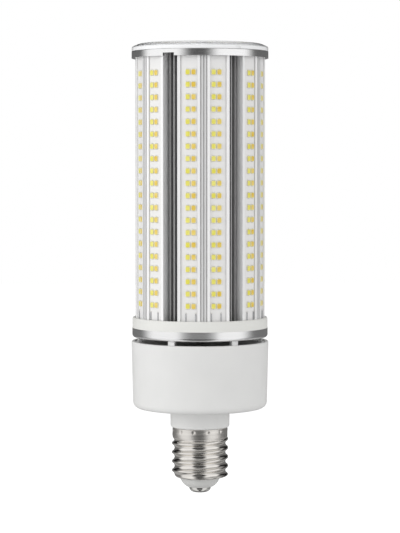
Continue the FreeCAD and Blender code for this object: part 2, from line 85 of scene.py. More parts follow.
# Gap between the panels in front, from the top down: dark, a paler band, shade and a paler ground
front_zero = -6 * degree
front_fade = (10 * degree, 37 * degree)
front_low_fade = (24 * degree, 38 * degree)
front_dark = 0.09
front_band = 0.38
front_band_fade = (0 * degree, -4 * degree)
front_shade_fade = (-7 * degree, -9.5 * degree)
front_ground = 0.34
front_ground_fade = (-34 * degree, -46 * degree)
front_ground_end_fade = (-54 * degree, -64 * degree)

# Gap between the panels behind, with its turns counted from the front too: shade, dark and a paler floor
rear_zero = -10 * degree
rear_fade = (86 * degree, 112 * degree)
rear_low_fade = (76 * degree, 100 * degree)
rear_dark = 0.17
rear_shade_fade = (3 * degree, 14 * degree)
rear_floor = 0.42
rear_floor_fade = (-14 * degree, -32 * degree)
rear_floor_end_fade = (-46 * degree, -60 * degree)

# Meshes: digits of a millimetre that tell corners apart, digits of a metre that sort solids, sharp angle
weld_digits = 3
sort_digits = 5
sharp_edge = 35 * degree

# Screw shell: a rolled thread of narrow crests and wide roots, with a rounded lower end
thread_pitch = 6.35 * mm
thread_depth = 1.85 * mm
thread_first_crest = 6.15 * mm
thread_crest_arc = 1.1 * mm
thread_start_turn = 20 * degree
shell_wall = 0.6 * mm
shell_end_radius = 14.35 * mm
shell_end_bore = 13.85 * mm
shell_end_round = 1.5
shell_taper_height = 2.1 * mm
shell_collar_height = 7.7 * mm
shell_collar_step = 1.4 * mm
shell_blend = 0.45 * mm
shell_collar_blend = 1.8 * mm
shell_rim_roll = 0.5 * mm
shell_segments = 360
shell_rows = 150
shell_sharp_edge = 50 * degree
dimple_count = 12
dimple_drop = 2.1 * mm
dimple_first_turn = -106.5 * degree
dimple_radius = 0.75 * mm
dimple_depth = 0.55 * mm

# LED packages, with their size across, along and thick, and the solder at their ends
led_size = (3.1 * mm, 3.6 * mm, 0.8 * mm)
led_corner = 0.15 * mm
led_edge = 0.10 * mm
led_rim = 0.10 * mm
led_window_corner = 0.55 * mm
led_well_depth = 0.10 * mm
led_phosphor_crown = 0.06 * mm
solder_width = 1.9 * mm
solder_reach = 0.40 * mm
solder_height = 0.30 * mm

# Leads at the foot of the boards, and the blob of solder on each
lead_radius = 0.29 * mm
lead_end_radius = 0.145 * mm
lead_end_height = 0.2 * mm
lead_segments = 12
lead_sharp_edge = 60 * degree
blob_across = 0.45 * mm
blob_up = 0.6 * mm
blob_height = 2.1 * lead_radius
blob_rings = 5
blob_flat_share = 0.5

# Places of the materials in the meshes of the packages and of the leads
body_index, lemon_index, amber_index, solder_index = range(4)
sleeve_index, blob_index = range(2)

# Noise: its middle, half its usual range, the spread of a tint round the middle, and its detail
noise_middle = 0.5
noise_reach = 0.2
tint_spread = 0.25
soft_detail = 2.0
weave_detail = 3.0
line_detail = 4.0

# Moulded plastic: mottle and grain in cells per metre, and the share by which its roughness wanders
plastic_specular = 0.3
plastic_mottle = (60, 60, 60)
plastic_grain = (1800, 1800, 1800)
plastic_relief = 0.004 * mm
plastic_wander_share = 0.1

# Moulded pieces: material, colour, roughness, contrast of its mottle and nodes
molded_pieces = (
    ("housing_plastic", (0.80, 0.80, 0.79), 0.45, 0.03, ["driver_housing"]),
    ("collar_plastic", (0.82, 0.82, 0.79), 0.42, 0.03, ["base_collar"]),
    ("insulator_glass", (0.66, 0.66, 0.645), 0.25, 0.03, ["cap_insulator"]),
    ("grommet_rubber", (0.03, 0.03, 0.03), 0.6, 0.03, ["lead_grommet"]),
    ("circuit_laminate", (0.05, 0.22, 0.09), 0.45, 0.2, ["driver_board"]),
    ("ferrite_block", (0.06, 0.06, 0.065), 0.55, 0.3, ["transformer_core"]),
    ("winding_tape", (0.75, 0.55, 0.08), 0.4, 0.15, ["transformer_winding"]),
    ("capacitor_sleeve", (0.03, 0.035, 0.06), 0.3, 0.2, ["bulk_capacitors"]),
    ("film_case", (0.45, 0.12, 0.08), 0.35, 0.15, ["film_capacitor"]),
    ("chip_case", (0.04, 0.04, 0.042), 0.5, 0.25, ["power_switch", "rectifier"]),
    ("fuse_ceramic", (0.75, 0.72, 0.64), 0.45, 0.1, ["input_fuse"]),
    ("lead_insulation", (0.035, 0.035, 0.04), 0.45, 0.12, ["live_lead", "neutral_lead", "output_leads"]))

# Brushed metal: relief of its lines, and the share by which its roughness wanders
line_relief = 0.004 * mm
brushed_wander_share = 0.2

# Brushed pieces: material, colour, roughness, contrast, lines in cells per metre along each axis and nodes
brushed_pieces = (
    ("ring_aluminium", (0.93, 0.93, 0.93), 0.20, 0.04, (30, 30, 2600), ["top_ring", "lower_band"]),
    ("plate_aluminium", (0.78, 0.78, 0.78), 0.40, 0.08, (900, 40, 900),
     ["base_plate", "top_plate", "heat_spreader"]),
    ("copper_winding", (0.72, 0.33, 0.16), 0.3, 0.08, (900, 900, 900), ["line_choke"]))

# Plated metal: clouds in cells per metre, their contrast, and the share by which its roughness wanders
cloud_cells = (220, 220, 220)
cloud_contrast = 0.06
plated_wander_share = 0.25

# Plated pieces: material, colour, roughness and nodes
plated_pieces = (
    ("contact_plating", (0.78, 0.77, 0.74), 0.14, ["center_contact"]),
    ("screw_steel", (0.70, 0.70, 0.71), 0.28, ["plate_screws", "sink_screws", "driver_screws"]))

# Plating of the screw shell, bright on the thread and satin on the collar
nickel_color = (0.85, 0.82, 0.78)
nickel_roughness = 0.12
collar_roughness = 0.34

# Colours of the packages, deep and pale for the phosphors, and of the leads
package_color = (0.88, 0.82, 0.55)
package_roughness = 0.35
package_contrast = 0.03
lemon_tints = ((0.80, 0.74, 0.09), (0.88, 0.83, 0.22))
amber_tints = ((0.78, 0.54, 0.06), (0.88, 0.69, 0.19))
phosphor_roughness = 0.32
phosphor_dose = (170, 170, 170)
phosphor_spread = 0.16
phosphor_grain = (4000, 4000, 4000)
phosphor_relief = 0.006 * mm
solder_color = (0.90, 0.89, 0.86)
solder_roughness = 0.5
sleeve_color = (0.46, 0.47, 0.49)
sleeve_roughness = 0.45
sleeve_contrast = 0.2

# Column: its sides, and its metal with lines in cells per metre and greys by distance from the axis, a
# painted shade that darkens it deeper in the channels
side_count = 6
facet_turn = 13 * degree
sink_color = (0.90, 0.90, 0.90)
sink_roughness = 0.36
sink_wander = 0.08
sink_metallic = 0.12
sink_lines = (2200, 2200, 6)
sink_depth_shade = ((34 * mm, 0.93), (40.0 * mm, 0.95), (41.5 * mm, 0.965), (44.5 * mm, 0.965))

# Bars and fins of the column, darker by angle from the middle of a side: painted shade in the bars' grooves
# and in the gaps between the fins
bar_half_turn = 3.05 * degree
bar_fade = 0.2 * degree
bar_painted_shade = 0.80
fin_turn = 23.4 * degree
fin_fade = 0.8 * degree
fin_painted_shade = 0.39

# Lens: its rim is milky up to a height and its crown is clear
lens_color = (0.95, 0.953, 0.96)
lens_roughness = 0.03
lens_refraction = 1.49
lens_milky_height = 2.0 * mm
lens_clear_height = 2.9 * mm

# Solder mask of the boards, and painted shadow lines along both edges of a long board, under its lips, by
# angle
mask_color = (0.87, 0.865, 0.86)
mask_roughness = 0.42
mask_mottle = (25, 25, 120)
mask_contrast = 0.04
mask_weave = (700, 700, 1500)
mask_relief = 0.006 * mm
shadow_line_turns = (6.0 * degree, 19.9 * degree)
shadow_line_fade = 0.25 * degree
shadow_line_grey = 0.74

# Lid under the air slot, pale at its posts and darkened behind them by painted shade
lid_color = (0.80, 0.80, 0.80)
lid_roughness = 0.42
lid_slot_shade = ((40 * mm, 0.43), (42.5 * mm, 0.47), (43.2 * mm, 0.96))


# Number helpers

def eased(value, start, end):
    """Smooth step from zero at one place to one at another."""
    share = max(0.0, min(1.0, (value - start) / (end - start)))
    return share * share * (3 - 2 * share)


def mixed(first, second, share):
    """A value that goes from one to another."""
    return first + (second - first) * share


def soft_min(first, second, blend):
    """The smaller of two lengths, with a rounded change-over."""
    share = max(0.0, min(1.0, 0.5 + 0.5 * (second - first) / blend))
    return mixed(second, first, share) - blend * share * (1 - share)


def scaled(color, factor):
    """A colour made darker or lighter."""
    return tuple(min(1.0, value * factor) for value in color)


def turns_round(count):
    """Equal turns round a circle."""
    return [index * full_turn / count for index in range(count)]


def from_axis(radius, turn, level):
    """A place on the lamp, at a distance from its axis and a turn from +X."""
    return (radius * math.cos(turn), radius * math.sin(turn), level)


def from_front(distance, turn, height):
    """A place in the studio, at a distance from the lamp's axis and a turn from its front."""
    return (distance * math.sin(turn), -distance * math.cos(turn), height)


# Mesh and object helpers

def solid_boxes(node):
    """Lowest and highest corner of each separate solid in a CAD node, in a fixed order."""
    mesh = nodes[node].data
    keys = [tuple(round(value / mm, weld_digits) for value in vertex.co) for vertex in mesh.vertices]
    leader = {key: key for key in keys}

    def find(key):
        while leader[key] != key:
            leader[key] = leader[leader[key]]
            key = leader[key]
        return key

    for polygon in mesh.polygons:
        first = find(keys[polygon.vertices[0]])
        for index in polygon.vertices[1:]:
            leader[find(keys[index])] = first
    groups = {}
    for key in sorted(set(keys)):
        groups.setdefault(find(key), []).append(key)
    boxes = []
    for group in groups.values():
        low = Vector([min(values) for values in zip(*group)]) * mm
        high = Vector([max(values) for values in zip(*group)]) * mm
        boxes.append((low, high))
    return sorted(boxes, key=lambda box: [round(box[0][axis], sort_digits) for axis in (2, 0, 1)])


def middle_of(node, axis):
    """Middle of a CAD node along an axis."""
    reach = [vertex.co.dot(axis) for vertex in nodes[node].data.vertices]
    return (min(reach) + max(reach)) / 2


def add_object(name, data):
    """A new object in the scene."""
    thing = bpy.data.objects.new(name, data)
    bpy.context.scene.collection.objects.link(thing)
    return thing


class MeshParts:
    """Vertices, faces and the material of each face, gathered for one mesh."""

    def __init__(self):
        self.vertices = []
        self.faces = []
        self.face_materials = []

    def add(self, vertices, faces, material=0):
        """More vertices, and faces that count from the first of them."""
        start = len(self.vertices)
        self.vertices += [tuple(vertex) for vertex in vertices]
        self.faces += [[start + index for index in face] for face in faces]
        self.face_materials += [material] * len(faces)

    def add_rings(self, rings, material=0, close=False):
        """Skin between rings of equal length; close joins the last ring to the first."""
        count = len(rings[0])
        vertices = [vertex for ring in rings for vertex in ring]
        faces = []
        for row in range(len(rings) if close else len(rings) - 1):
            low = row * count
            high = (row + 1) % len(rings) * count
            for index in range(count):
                after = (index + 1) % count
                faces.append([low + index, low + after, high + after, high + index])
        self.add(vertices, faces, material)

    def add_cap(self, ring, material=0, flipped=False):
        """One face over a ring."""
        face = list(range(len(ring)))
        if flipped:
            face.reverse()
        self.add(ring, [face], material)

    def add_closed_rings(self, rings, material=0):
        """Skin between rings, with a face over the first and the last."""
        self.add_rings(rings, material)
        self.add_cap(rings[0], material, flipped=True)
        self.add_cap(rings[-1], material)

    def make(self, name, materials, replaced, sharp_angle=sharp_edge):
        """The finished piece, riding on the lamp."""
        mesh = bpy.data.meshes.new(name)
        mesh.from_pydata(self.vertices, [], self.faces)
        for material in materials:
            mesh.materials.append(material)
        mesh.polygons.foreach_set("material_index", self.face_materials)
        mesh.shade_smooth()
        mesh.set_sharp_from_angle(angle=sharp_angle)
        mesh.update()
        piece = add_object(name, mesh)
        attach(piece, "root")
        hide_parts(*replaced)


# Shader node helpers

def add_math(tree, operation, *terms):
    """A value worked out from other nodes' values and from numbers."""
    node = tree.nodes.new("ShaderNodeMath")
    node.operation = operation
    for socket, term in zip(node.inputs, terms):
        if isinstance(term, bpy.types.NodeSocket):
            tree.links.new(term, socket)
        else:
            socket.default_value = term
    return node.outputs["Value"]


def add_span(tree, value, source, target=(0.0, 1.0)):
    """A value carried from one range to another and held at its ends."""
    span = tree.nodes.new("ShaderNodeMapRange")
    for name, level in zip(("From Min", "From Max", "To Min", "To Max"), (*source, *target)):
        span.inputs[name].default_value = level
    tree.links.new(value, span.inputs["Value"])
    return span.outputs["Result"]


def add_ramp(tree, value, stops):
    """A colour that follows a value, from pairs of place and colour in rising order."""
    ramp = tree.nodes.new("ShaderNodeValToRGB")
    elements = ramp.color_ramp.elements
    for element, (place, color) in zip(elements, (stops[0], stops[-1])):
        element.position = place
        element.color = (*color, 1)
    for place, color in stops[1:-1]:
        elements.new(place).color = (*color, 1)
    tree.links.new(value, ramp.inputs["Fac"])
    return ramp.outputs["Color"]


def add_axes(tree):
    """X, Y and Z in the object's own coordinates."""
    place = tree.nodes.new("ShaderNodeTexCoord")
    axes = tree.nodes.new("ShaderNodeSeparateXYZ")
    tree.links.new(place.outputs["Object"], axes.inputs["Vector"])
    return axes.outputs


def add_noise(tree, stretch, detail):
    """Noise over the object's own coordinates, in cells per metre along each axis."""
    place = tree.nodes.new("ShaderNodeTexCoord")
    scale = tree.nodes.new("ShaderNodeMapping")
    scale.inputs["Scale"].default_value = stretch
    noise = tree.nodes.new("ShaderNodeTexNoise")
    noise.inputs["Scale"].default_value = 1.0
    noise.inputs["Detail"].default_value = detail
    tree.links.new(place.outputs["Object"], scale.inputs["Vector"])
    tree.links.new(scale.outputs["Vector"], noise.inputs["Vector"])
    return noise.outputs["Fac"]


def add_shown_rays(tree):
    """One where a ray comes from the camera, a reflection or clear plastic, and zero elsewhere."""
    path = tree.nodes.new("ShaderNodeLightPath")
    reflected = add_math(tree, "MAXIMUM", path.outputs["Is Glossy Ray"], path.outputs["Is Transmission Ray"])
    return add_math(tree, "MAXIMUM", path.outputs["Is Camera Ray"], reflected)


# Material helpers

def new_material(name, color, roughness, metallic=0.0):
    """A material with its node tree and its main shader's sockets."""
    material = bpy.data.materials.new(name)
    material.use_nodes = True
    tree = material.node_tree
    surface = tree.nodes["Principled BSDF"].inputs
    surface["Base Color"].default_value = (*color, 1)
    surface["Roughness"].default_value = roughness
    surface["Metallic"].default_value = metallic
    return material, tree, surface


def empty_material(name):
    """A material with nothing but its output, its node tree and the output's socket."""
    material = bpy.data.materials.new(name)
    material.use_nodes = True
    tree = material.node_tree
    tree.nodes.clear()
    output = tree.nodes.new("ShaderNodeOutputMaterial")
    return material, tree, output.inputs["Surface"]


def vary_color(tree, surface, noise, low, high, spread=tint_spread):
    """Base colour that wanders between two tints."""
    stops = ((noise_middle - spread, low), (noise_middle + spread, high))
    tree.links.new(add_ramp(tree, noise, stops), surface["Base Color"])


def vary_roughness(tree, surface, noise, roughness, wander):
    """Roughness that wanders to both sides of a value."""
    source = (noise_middle - noise_reach, noise_middle + noise_reach)
    target = (roughness - wander, roughness + wander)
    tree.links.new(add_span(tree, noise, source, target), surface["Roughness"])


def add_bump(tree, surface, noise, depth):
    """Fine relief of a given depth."""
    bump = tree.nodes.new("ShaderNodeBump")
    bump.inputs["Strength"].default_value = 1.0
    bump.inputs["Distance"].default_value = depth
    tree.links.new(noise, bump.inputs["Height"])
    tree.links.new(bump.outputs["Normal"], surface["Normal"])


def grey_by_radius(tree, surface, greys):
    """Base colour by distance from the lamp's axis, from pairs of radius and grey, going outward."""
    start = greys[0][0]
    end = greys[-1][0]
    place = tree.nodes.new("ShaderNodeTexCoord")
    flat = tree.nodes.new("ShaderNodeVectorMath")
    flat.operation = "MULTIPLY"
    flat.inputs[1].default_value = (1, 1, 0)
    reach = tree.nodes.new("ShaderNodeVectorMath")
    reach.operation = "LENGTH"
    tree.links.new(place.outputs["Object"], flat.inputs[0])
    tree.links.new(flat.outputs["Vector"], reach.inputs[0])
    share = add_span(tree, reach.outputs["Value"], (start, end))
    stops = [((radius - start) / (end - start), (grey, grey, grey)) for radius, grey in greys]
    tree.links.new(add_ramp(tree, share, stops), surface["Base Color"])


def shade_by_turn(tree, surface, fade, shades):
    """Base colour scaled by the angle from the middle of the nearest side, with one soft step."""
    axes = add_axes(tree)
    turn = add_math(tree, "ARCTAN2", axes["X"], axes["Y"])
    fold = add_math(tree, "PINGPONG", turn, math.pi / side_count)
    tint = tree.nodes.new("ShaderNodeVectorMath")
    tint.operation = "SCALE"
    tree.links.new(surface["Base Color"].links[0].from_socket, tint.inputs[0])
    tree.links.new(add_span(tree, fold, fade, shades), tint.inputs["Scale"])
    tree.links.new(tint.outputs["Vector"], surface["Base Color"])


# Materials

def molded_plastic(name, color, roughness, contrast):
    """Moulded plastic with a faint mottle and a fine, rather dull skin."""
    material, tree, surface = new_material(name, color, roughness)
    surface["Specular IOR Level"].default_value = plastic_specular
    mottle = add_noise(tree, plastic_mottle, soft_detail)
    vary_color(tree, surface, mottle, scaled(color, 1 - contrast), color)
    vary_roughness(tree, surface, mottle, roughness, roughness * plastic_wander_share)
    add_bump(tree, surface, add_noise(tree, plastic_grain, soft_detail), plastic_relief)
    return material


def lid_plastic(name):
    """Moulded lid that shows only at its rim, with painted shade that darkens it inside the air slot."""
    material, tree, surface = new_material(name, lid_color, lid_roughness)
    # painted shade inside the air slot, pale only at the posts
    grey_by_radius(tree, surface, lid_slot_shade)
    add_bump(tree, surface, add_noise(tree, plastic_grain, soft_detail), plastic_relief)
    return material


def brushed_metal(name, color, roughness, contrast, lines_per_metre):
    """Metal with fine lines along one direction, given by how far the noise is stretched."""
    material, tree, surface = new_material(name, color, roughness, metallic=1.0)
    lines = add_noise(tree, lines_per_metre, line_detail)
    vary_color(tree, surface, lines, scaled(color, 1 - contrast), color)
    vary_roughness(tree, surface, lines, roughness, roughness * brushed_wander_share)
    add_bump(tree, surface, lines, line_relief)
    return material


def drawn_aluminium(name):
    """Satin extrusion with lines along its length, with painted shade: grey by depth and darker on its bars
    and fins.
    """
    material, tree, surface = new_material(name, sink_color, sink_roughness, sink_metallic)
    # painted shade: greyer nearer the axis, deep in the channels
    grey_by_radius(tree, surface, sink_depth_shade)
    # painted shade on the ribbed bars and in the fin gaps
    shade_by_turn(tree, surface, (bar_half_turn, bar_half_turn + bar_fade), (bar_painted_shade, 1.0))
    shade_by_turn(tree, surface, (fin_turn, fin_turn + fin_fade), (1.0, fin_painted_shade))
    lines = add_noise(tree, sink_lines, line_detail)
    vary_roughness(tree, surface, lines, sink_roughness, sink_wander)
    add_bump(tree, surface, lines, line_relief)
    return material


def add_clouds(tree, surface, color):
    """Faint clouds in a plating's colour."""
    clouds = add_noise(tree, cloud_cells, line_detail)
    vary_color(tree, surface, clouds, scaled(color, 1 - cloud_contrast), color)
    return clouds


def plated_metal(name, color, roughness):
    """Bright plating with faint clouds."""
    material, tree, surface = new_material(name, color, roughness, metallic=1.0)
    clouds = add_clouds(tree, surface, color)
    vary_roughness(tree, surface, clouds, roughness, roughness * plated_wander_share)
    return material


def rolled_nickel(name):
    """Nickel plating with faint clouds, bright on the rolled thread and satin on the collar."""
    material, tree, surface = new_material(name, nickel_color, nickel_roughness, metallic=1.0)
    add_clouds(tree, surface, nickel_color)
    collar_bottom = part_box("screw_shell")[1].z - shell_collar_height
    step = (collar_bottom - shell_blend, collar_bottom + shell_blend)
    satin = add_span(tree, add_axes(tree)["Z"], step, (nickel_roughness, collar_roughness))
    tree.links.new(satin, surface["Roughness"])
    return material


def phosphor(name, tints):
    """Cast silicone with phosphor powder in it, deeper in some packages than in others."""
    deep, pale = tints
    material, tree, surface = new_material(name, pale, phosphor_roughness)
    dose = add_noise(tree, phosphor_dose, soft_detail)
    vary_color(tree, surface, dose, deep, pale, phosphor_spread)
    add_bump(tree, surface, add_noise(tree, phosphor_grain, soft_detail), phosphor_relief)
    return material


def clear_plastic(name):
    """Polished lens, clear at its crown and milky at its rim."""
    material, tree, surface = new_material(name, lens_color, lens_roughness)
    surface["IOR"].default_value = lens_refraction
    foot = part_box("top_lens")[0].z
    clear = add_span(tree, add_axes(tree)["Z"], (foot + lens_milky_height, foot + lens_clear_height))
    tree.links.new(clear, surface["Transmission Weight"])
    return material


def solder_mask(name, shadow_lines):
    """White solder mask with a faint mottle and, on the long boards, painted shadow lines along both edges.
    """
    material, tree, surface = new_material(name, mask_color, mask_roughness)
    mottle = add_noise(tree, mask_mottle, soft_detail)
    vary_color(tree, surface, mottle, scaled(mask_color, 1 - mask_contrast), mask_color)
    if shadow_lines:
        # painted shadow lines where the heat sink's lips meet the board
        inner, outer = shadow_line_turns
        shade_by_turn(tree, surface, (inner - shadow_line_fade, inner), (shadow_line_grey, 1.0))
        shade_by_turn(tree, surface, (outer, outer + shadow_line_fade), (1.0, shadow_line_grey))
    add_bump(tree, surface, add_noise(tree, mask_weave, weave_detail), mask_relief)
    return material


# Screw shell

def knuckle_radius(phase, root_radius):
    """Radius of the rolled thread at a share of its pitch from the crest: two tangent arcs."""
    half_pitch = thread_pitch / 2
    both_arcs = (half_pitch ** 2 + thread_depth ** 2) / (2 * thread_depth)
    root_arc = both_arcs - thread_crest_arc
    away = abs(phase - round(phase)) * thread_pitch
    if away < half_pitch * thread_crest_arc / both_arcs:
        return root_radius + thread_depth - thread_crest_arc + math.sqrt(thread_crest_arc ** 2 - away ** 2)
    return root_radius + root_arc - math.sqrt(root_arc ** 2 - (half_pitch - away) ** 2)


def end_limit(thread, height):
    """Radius that rounds the thread off towards the shell's lower end, at a height above that end."""
    climb = min(1.0, height / shell_taper_height)
    fullness = (1 - (1 - climb) ** shell_end_round) ** (1 / shell_end_round)
    return mixed(shell_end_radius, thread, fullness) + max(0.0, height - shell_taper_height)


def dimple_dent(turn, drop, collar_radius):
    """Depth of the ring of dimples at an angle and at a drop below the shell's rim."""
    step = full_turn / dimple_count
    off = (turn - dimple_first_turn + step / 2) % step - step / 2
    away = math.hypot(off * collar_radius, dimple_drop - drop) / dimple_radius
    return dimple_depth * math.exp(-away ** 2)


def shell_radius(turn, level, core_radius, bottom, top):
    """Outer radius of the screw shell at an angle and a height."""
    phase = (level - thread_first_crest) / thread_pitch - (turn - thread_start_turn) / full_turn
    thread = knuckle_radius(phase, core_radius)
    low_limit = end_limit(thread, level - bottom)
    collar_bottom = top - shell_collar_height
    collar_radius = core_radius + shell_collar_step
    high_limit = collar_radius + max(0.0, collar_bottom + shell_blend - level)
    radius = soft_min(soft_min(thread, low_limit, shell_blend), high_limit, shell_blend)
    rise = soft_min(collar_radius, collar_radius - collar_bottom + level, shell_collar_blend)
    radius = -soft_min(-radius, -rise, shell_blend)
    rim = max(0.0, level - top + shell_rim_roll)
    radius -= shell_rim_roll - math.sqrt(shell_rim_roll ** 2 - rim ** 2)
    return radius - dimple_dent(turn, top - level, collar_radius)


def make_screw_shell(metal):
    """Shell with its thread and dimples outside and a stepped bore inside."""
    low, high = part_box("screw_shell")
    core_radius = high.x - thread_depth
    bore = core_radius - shell_wall
    collar_bore = bore + shell_collar_step
    collar_bottom = high.z - shell_collar_height
    turns = turns_round(shell_segments)
    rings = []
    for row in range(shell_rows + 1):
        level = low.z + (high.z - low.z) * row / shell_rows
        radii = [shell_radius(turn, level, core_radius, low.z, high.z) for turn in turns]
        rings.append([from_axis(radius, turn, level) for radius, turn in zip(radii, turns)])
    inside = [
        (collar_bore, high.z),
        (collar_bore, collar_bottom + shell_collar_step - shell_wall),
        (bore, collar_bottom - shell_wall),
        (bore, low.z + shell_taper_height + shell_wall),
        (shell_end_bore, low.z + shell_wall),
        (shell_end_bore, low.z)]
    for radius, level in inside:
        rings.append([from_axis(radius, turn, level) for turn in turns])
    parts = MeshParts()
    parts.add_rings(rings, close=True)
    parts.make("rolled_screw_shell", [metal], ["screw_shell"], shell_sharp_edge)


# LED packages

def cut_rectangle(width, height, corner):
    """Eight points round a rectangle with its corners cut."""
    x = width / 2
    y = height / 2
    return [
        (x, corner - y), (x, y - corner), (x - corner, y), (corner - x, y),
        (-x, y - corner), (-x, corner - y), (corner - x, -y), (x - corner, -y)]


def add_led_package(parts, center, axes, tint):
    """One package: body with a well, phosphor in the well and a solder fillet at each end."""
    across, up, out = axes
    width, height, thickness = led_size

    def place(x, y, lift):
        return center + across * x + up * y + out * (lift - thickness / 2)

    def ring(inset, corner, lift):
        points = cut_rectangle(width - 2 * inset, height - 2 * inset, corner)
        return [place(x, y, lift) for x, y in points]

    well = thickness - led_well_depth
    body = [
        ring(0, led_corner, 0),
        ring(0, led_corner, thickness - led_edge),
        ring(led_edge, led_corner, thickness),
        ring(led_rim, led_window_corner, thickness),
        ring(led_rim + led_edge, led_window_corner, well)]
    parts.add_rings(body, body_index)
    parts.add_cap(body[0], body_index, flipped=True)
    count = len(body[-1])
    crown = place(0, 0, well + led_phosphor_crown)
    fan = [[index, (index + 1) % count, count] for index in range(count)]
    parts.add(body[-1] + [crown], fan, tint)
    for end in (-1, 1):
        add_solder_fillet(parts, place, end * height / 2, end)


def add_solder_fillet(parts, place, edge, end):
    """Wedge of solder between a package's end and its board."""
    half = solder_width / 2
    tip = edge + end * solder_reach
    vertices = [
        place(-half, edge, 0), place(half, edge, 0), place(half, tip, 0), place(-half, tip, 0),
        place(-half, edge, solder_height), place(half, edge, solder_height)]
    faces = [[0, 1, 2, 3], [0, 4, 5, 1], [2, 5, 4, 3], [0, 3, 4], [1, 5, 2]]
    if end > 0:
        faces = [list(reversed(face)) for face in faces]
    parts.add(vertices, faces, solder_index)


def facet_angles():
    """Outward direction of each LED facet, in the order of the boards."""
    angles = []
    for side in range(side_count):
        middle = -math.pi / 2 + side * full_turn / side_count
        angles += [middle - facet_turn, middle + facet_turn]
    return angles


def facet_axes(angle):
    """Axes of a facet: across the board, up and out."""
    out = Vector((math.cos(angle), math.sin(angle), 0))
    up = Vector((0, 0, 1))
    return up.cross(out), up, out


def make_side_leds(materials):
    """Packages of the long boards, lemon in one row of a board and amber in the other."""
    for index, angle in enumerate(facet_angles()):
        node = "led_chips_%02d" % (index + 1)
        axes = facet_axes(angle)
        across = axes[0]
        middle = middle_of(node, across)
        parts = MeshParts()
        for low, high in solid_boxes(node):
            center = (low + high) / 2
            tint = lemon_index if center.dot(across) < middle else amber_index
            add_led_package(parts, center, axes, tint)
        parts.make("led_packages_%02d" % (index + 1), materials, [node])


def make_top_leds(materials):
    """Packages of the round board, each with its length towards the axis."""
    parts = MeshParts()
    up = Vector((0, 0, 1))
    for low, high in solid_boxes("top_chips"):
        center = (low + high) / 2
        outward = Vector((center.x, center.y, 0)).normalized()
        add_led_package(parts, center, (outward.cross(up) * -1, outward * -1, up), lemon_index)
    parts.make("top_led_packages", materials, ["top_chips"])


# Leads of the boards

def make_board_leads(sleeve, solder):
    """Round leads that come up behind the collar, each soldered to the foot of its board."""
    parts = MeshParts()
    angles = facet_angles()
    for low, high in solid_boxes("board_leads"):
        center = (low + high) / 2
        toward = math.atan2(center.y, center.x)
        angle = min(angles, key=lambda value: abs(math.remainder(value - toward, full_turn)))
        axes = facet_axes(angle)
        add_lead(parts, Vector((center.x, center.y, low.z)), axes, high.z - low.z - blob_up)
        add_blob(parts, Vector((center.x, center.y, high.z - blob_up)), axes)
    parts.make("soldered_leads", [sleeve, solder], ["board_leads"], lead_sharp_edge)


def add_lead(parts, foot, axes, length):
    """Straight round lead with a tapered foot."""
    across, up, out = axes
    rings = []
    for level, radius in ((0, lead_end_radius), (lead_end_height, lead_radius), (length, lead_radius)):
        middle = foot + up * level
        rings.append([
            middle + (across * math.cos(turn) + out * math.sin(turn)) * radius
            for turn in turns_round(lead_segments)])
    parts.add_closed_rings(rings, sleeve_index)


def add_blob(parts, center, axes):
    """Rounded blob of solder lying on a board, with a small flat top."""
    across, up, out = axes
    rings = []
    for row in range(blob_rings + 1):
        tilt = math.pi / 2 * row / (blob_rings + blob_flat_share)
        lift = out * (blob_height * math.sin(tilt) - lead_radius)
        spread = math.cos(tilt)
        rings.append([
            center + across * blob_across * spread * math.cos(turn)
            + up * blob_up * spread * math.sin(turn) + lift for turn in turns_round(lead_segments)])
    parts.add_closed_rings(rings, blob_index)


# The lamp

def paint(material, *names):
    """Gives CAD nodes their material."""
    for name in names:
        mesh = nodes[name].data
        mesh.materials.clear()
        mesh.materials.append(material)


def paint_nodes():
    """Materials of the pieces that keep their CAD shape."""
    for name, color, roughness, contrast, pieces in molded_pieces:
        paint(molded_plastic(name, color, roughness, contrast), *pieces)
    for name, color, roughness, contrast, lines_per_metre, pieces in brushed_pieces:
        paint(brushed_metal(name, color, roughness, contrast, lines_per_metre), *pieces)
    for name, color, roughness, pieces in plated_pieces:
        paint(plated_metal(name, color, roughness), *pieces)
    boards = ["led_board_%02d" % (index + 1) for index in range(2 * side_count)]
    paint(solder_mask("board_mask", shadow_lines=True), *boards)
    paint(solder_mask("top_board_mask", shadow_lines=False), "top_board")
    paint(lid_plastic("lid_plastic"), "housing_lid")
    paint(drawn_aluminium("sink_aluminium"), "heat_sink")
    paint(clear_plastic("lens_plastic"), "top_lens")


def dress_lamp():
    """All pieces and materials of the lamp."""
    paint_nodes()
    make_screw_shell(rolled_nickel("nickel_plating"))
    solder = plated_metal("solder_tin", solder_color, solder_roughness)
    led_materials = [
        molded_plastic("package_plastic", package_color, package_roughness, package_contrast),
        phosphor("phosphor_lemon", lemon_tints),
        phosphor("phosphor_amber", amber_tints),
        solder]
    make_side_leds(led_materials)
    make_top_leds(led_materials)
    sleeve = molded_plastic("lead_sleeve", sleeve_color, sleeve_roughness, sleeve_contrast)
    make_board_leads(sleeve, solder)


# Studio

